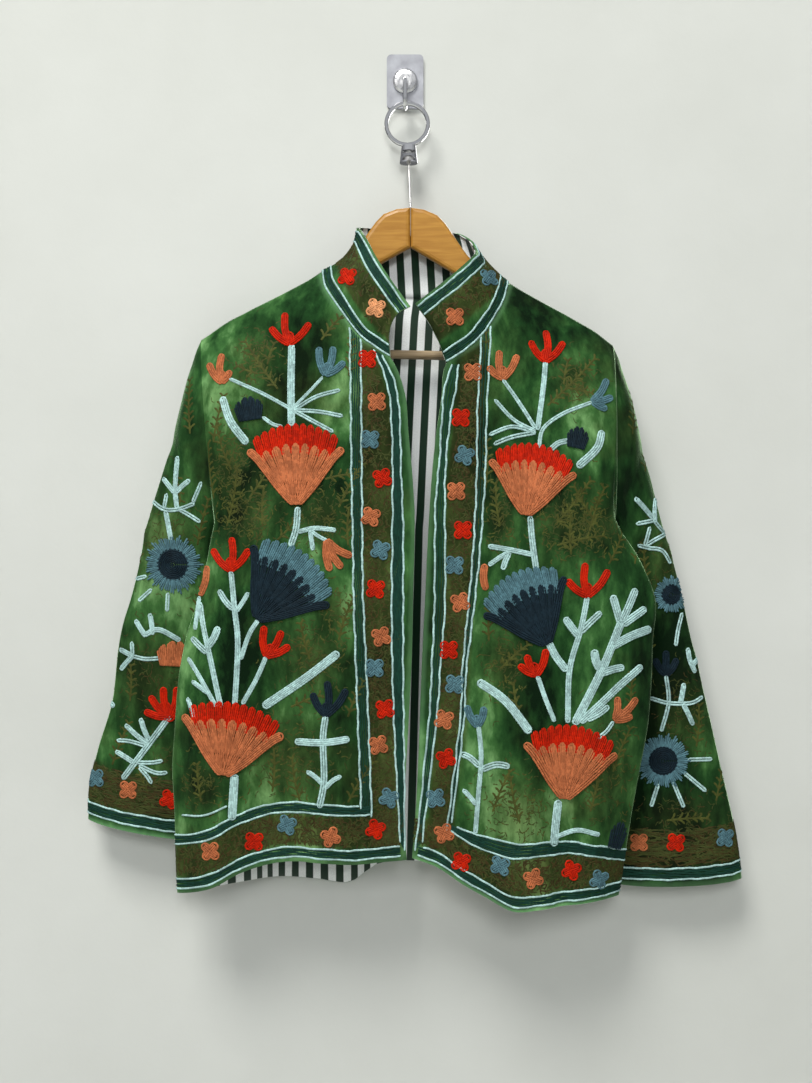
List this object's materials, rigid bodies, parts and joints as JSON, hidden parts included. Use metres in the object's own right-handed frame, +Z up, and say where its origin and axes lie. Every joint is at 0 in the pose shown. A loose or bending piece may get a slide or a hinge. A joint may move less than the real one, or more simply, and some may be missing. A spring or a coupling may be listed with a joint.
{
  "type": "suzani jacket on wooden hanger with ring and wall hook",
  "caption": "Open-fronted velvet suzani jacket with a stand collar and striped lining, hung on a wooden hanger from a ring on an adhesive wall hook.",
  "frame": {"origin": "centre of the wall plate's back face, on the wall", "axes": "+Z up, -Y the way the jacket's front faces, out of the wall, and +X to the right seen from the front"},
  "size_m": [0.72, 0.1149, 0.9326],
  "materials": {
    "velvet": "dark green cotton velvet with chain-stitch embroidery",
    "striped_lining": "dark green and white striped cotton",
    "hanger_wood": "clear-varnished pale wood",
    "bar_wood": "plain turned wood",
    "pin_steel": "plain steel rod",
    "chrome": "polished",
    "clear_plate": "pale translucent adhesive plate"
  },
  "bodies": {
    "root": {"front_left": "velvet", "front_right": "velvet", "back_panel": "velvet", "sleeve_left": "velvet", "sleeve_right": "velvet", "collar": "velvet", "lining_back": "striped_lining", "lining_collar": "striped_lining", "hanger_left": "hanger_wood", "hanger_right": "hanger_wood", "trouser_bar": "bar_wood", "pin": "pin_steel", "ring": "chrome", "wall_hook": "chrome", "hook_boss": "chrome", "wall_plate": "clear_plate"}
  },
  "joints": []
}
